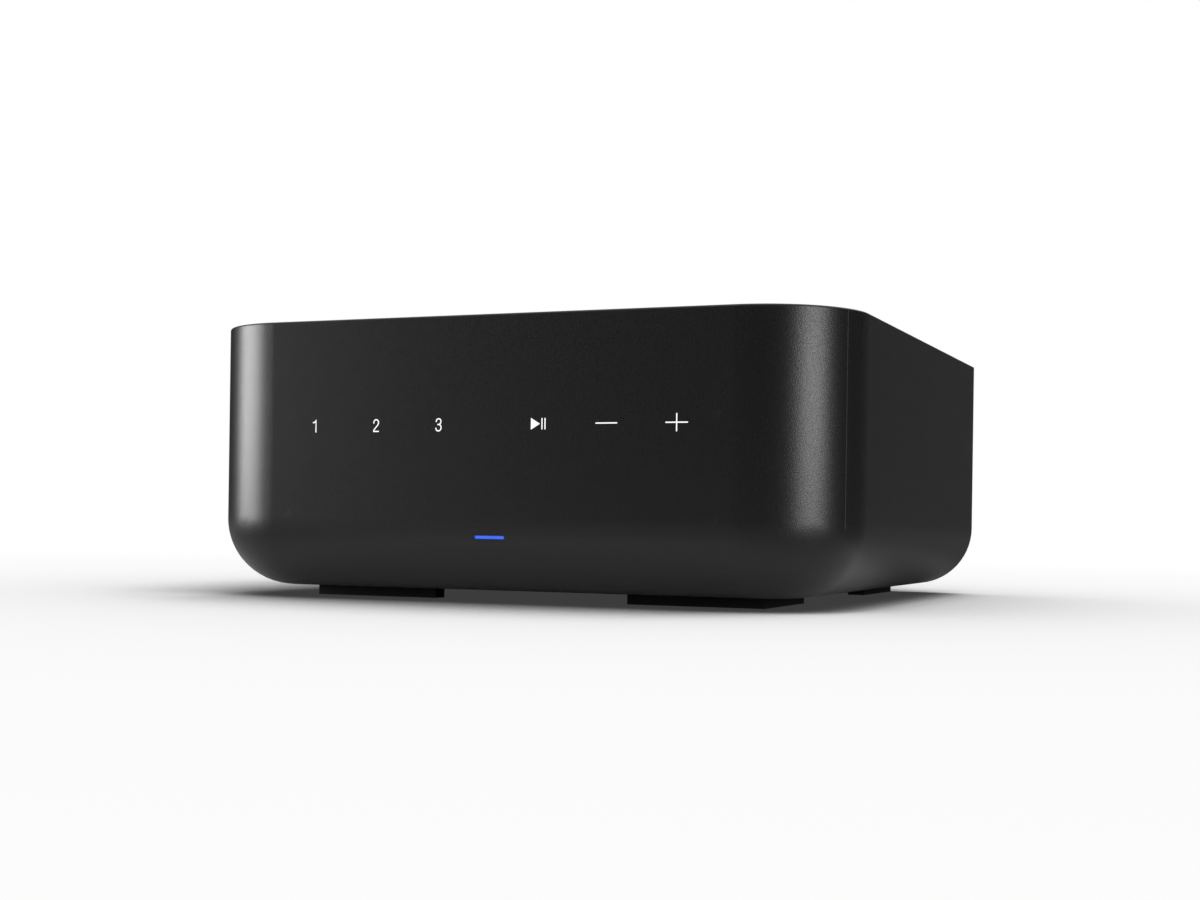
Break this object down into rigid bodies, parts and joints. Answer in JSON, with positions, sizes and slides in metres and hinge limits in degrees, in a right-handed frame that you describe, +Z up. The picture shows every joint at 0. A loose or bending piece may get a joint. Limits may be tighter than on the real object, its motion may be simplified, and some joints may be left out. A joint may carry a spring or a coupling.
{
  "type": "streaming amplifier",
  "caption": "Compact streaming amplifier: a dark moulded housing with rounded front corners and belly, touch front, L-shaped feet and a rear connector panel.",
  "frame": {"origin": "on the surface that it stands on, at the centre of the overall box, rear terminals included", "axes": "+Z up, the front faces -Y, +X to the right as seen from the front"},
  "size_m": [0.212, 0.211, 0.086],
  "materials": {
    "housing_plastic": "fine satin texture",
    "panel_plastic": "matt",
    "foot_rubber": "matt",
    "light_window": "lit blue",
    "screw_black": "black zinc",
    "sheet_steel": "zinc plated",
    "board_green": "solder mask",
    "standoff_brass": "turned",
    "diffuser_white": "translucent white",
    "connector_black": "matt",
    "plated_contact": "nickel plated",
    "socket_steel": "bright tin plate",
    "cap_red": "gloss",
    "cap_black": "gloss",
    "insert_white": "gloss",
    "insert_red": "gloss",
    "flap_grey": "matt",
    "heatsink_alloy": "extruded",
    "ferrite": "ground ferrite",
    "winding_tape": "polyester tape",
    "can_sleeve": "shrink sleeve",
    "cable_grey": "insulation"
  },
  "bodies": {
    "amplifier": {"amplifier_board": "board_green", "amplifier_capacitors": "can_sleeve", "amplifier_chips": "connector_black", "antenna_leads": "cable_grey", "antennas": "board_green", "av_socket": "socket_steel", "base_screws": "screw_black", "board_links": "cable_grey", "board_screws": "sheet_steel", "board_standoffs": "standoff_brass", "button_switches": "connector_black", "chassis_tray": "sheet_steel", "filter_capacitor": "can_sleeve", "foot_front_left": "foot_rubber", "foot_front_right": "foot_rubber", "foot_rear_left": "foot_rubber", "foot_rear_right": "foot_rubber", "heatsink": "heatsink_alloy", "jack_blocks": "connector_black", "jack_insert_sub": "connector_black", "jack_inserts_left": "insert_white", "jack_inserts_right": "insert_red", "jack_sleeves": "plated_contact", "light_guide": "light_window", "line_choke": "ferrite", "main_board": "board_green", "mains_inlet": "connector_black", "mains_pins": "plated_contact", "network_socket": "socket_steel", "optical_socket": "connector_black", "outer_shell": "housing_plastic", "output_inductors": "ferrite", "power_supply_board": "board_green", "rear_panel": "panel_plastic", "rear_panel_screws": "screw_black", "sensor_jack": "connector_black", "shield_can": "sheet_steel", "socket_tongues": "connector_black", "status_led": "diffuser_white", "supply_capacitors": "can_sleeve", "symbol_diffuser": "diffuser_white", "terminal_block": "connector_black", "terminal_stems": "plated_contact", "top_cover": "housing_plastic", "touch_board": "board_green", "touch_ribbon": "cable_grey", "transformer_core": "ferrite", "transformer_winding": "winding_tape", "usb_socket": "socket_steel"},
    "connect_key": {"connect_button": "flap_grey"},
    "pair_key": {"pair_button": "flap_grey"},
    "flap": {"optical_shutter": "flap_grey"},
    "washer_a_plus": {"terminal_washer_a_plus": "cap_red"},
    "cap_a_plus": {"terminal_cap_a_plus": "cap_red"},
    "washer_a_minus": {"terminal_washer_a_minus": "cap_black"},
    "cap_a_minus": {"terminal_cap_a_minus": "cap_black"},
    "washer_b_plus": {"terminal_washer_b_plus": "cap_red"},
    "cap_b_plus": {"terminal_cap_b_plus": "cap_red"},
    "washer_b_minus": {"terminal_washer_b_minus": "cap_black"},
    "cap_b_minus": {"terminal_cap_b_minus": "cap_black"}
  },
  "joints": [
    {"name": "connect_key_press", "type": "slide", "parent": "amplifier", "child": "connect_key", "axis": [0, -1, 0], "range_m": [0, 0.0008], "stiffness_N_per_m": 600, "springref_m": -0.0005},
    {"name": "pair_key_press", "type": "slide", "parent": "amplifier", "child": "pair_key", "axis": [0, -1, 0], "range_m": [0, 0.0008], "stiffness_N_per_m": 600, "springref_m": -0.0005},
    {"name": "flap_swing", "type": "hinge", "parent": "amplifier", "child": "flap", "pos_m": [-0.013, 0.0947, 0.06585], "axis": [-1, 0, 0], "range_deg": [0, 88], "stiffness_Nm_per_rad": 0.0001, "springref_deg": -28.65},
    {"name": "washer_a_plus_slide", "type": "slide", "parent": "amplifier", "child": "washer_a_plus", "axis": [0, 1, 0], "range_m": [0, 0.0032]},
    {"name": "cap_a_plus_turn", "type": "hinge", "parent": "washer_a_plus", "child": "cap_a_plus", "pos_m": [-0.0585, 0.0969, 0.0495], "axis": [0, 1, 0], "range_deg": [0, 1440]},
    {"name": "washer_a_minus_slide", "type": "slide", "parent": "amplifier", "child": "washer_a_minus", "axis": [0, 1, 0], "range_m": [0, 0.0032]},
    {"name": "cap_a_minus_turn", "type": "hinge", "parent": "washer_a_minus", "child": "cap_a_minus", "pos_m": [-0.0585, 0.0969, 0.0305], "axis": [0, 1, 0], "range_deg": [0, 1440]},
    {"name": "washer_b_plus_slide", "type": "slide", "parent": "amplifier", "child": "washer_b_plus", "axis": [0, 1, 0], "range_m": [0, 0.0032]},
    {"name": "cap_b_plus_turn", "type": "hinge", "parent": "washer_b_plus", "child": "cap_b_plus", "pos_m": [-0.0775, 0.0969, 0.0495], "axis": [0, 1, 0], "range_deg": [0, 1440]},
    {"name": "washer_b_minus_slide", "type": "slide", "parent": "amplifier", "child": "washer_b_minus", "axis": [0, 1, 0], "range_m": [0, 0.0032]},
    {"name": "cap_b_minus_turn", "type": "hinge", "parent": "washer_b_minus", "child": "cap_b_minus", "pos_m": [-0.0775, 0.0969, 0.0305], "axis": [0, 1, 0], "range_deg": [0, 1440]}
  ],
  "couplings": [
    {"joint": "cap_a_plus_turn", "follows": "washer_a_plus_slide", "rad_per_m": 7854},
    {"joint": "cap_a_minus_turn", "follows": "washer_a_minus_slide", "rad_per_m": 7854},
    {"joint": "cap_b_plus_turn", "follows": "washer_b_plus_slide", "rad_per_m": 7854},
    {"joint": "cap_b_minus_turn", "follows": "washer_b_minus_slide", "rad_per_m": 7854}
  ]
}
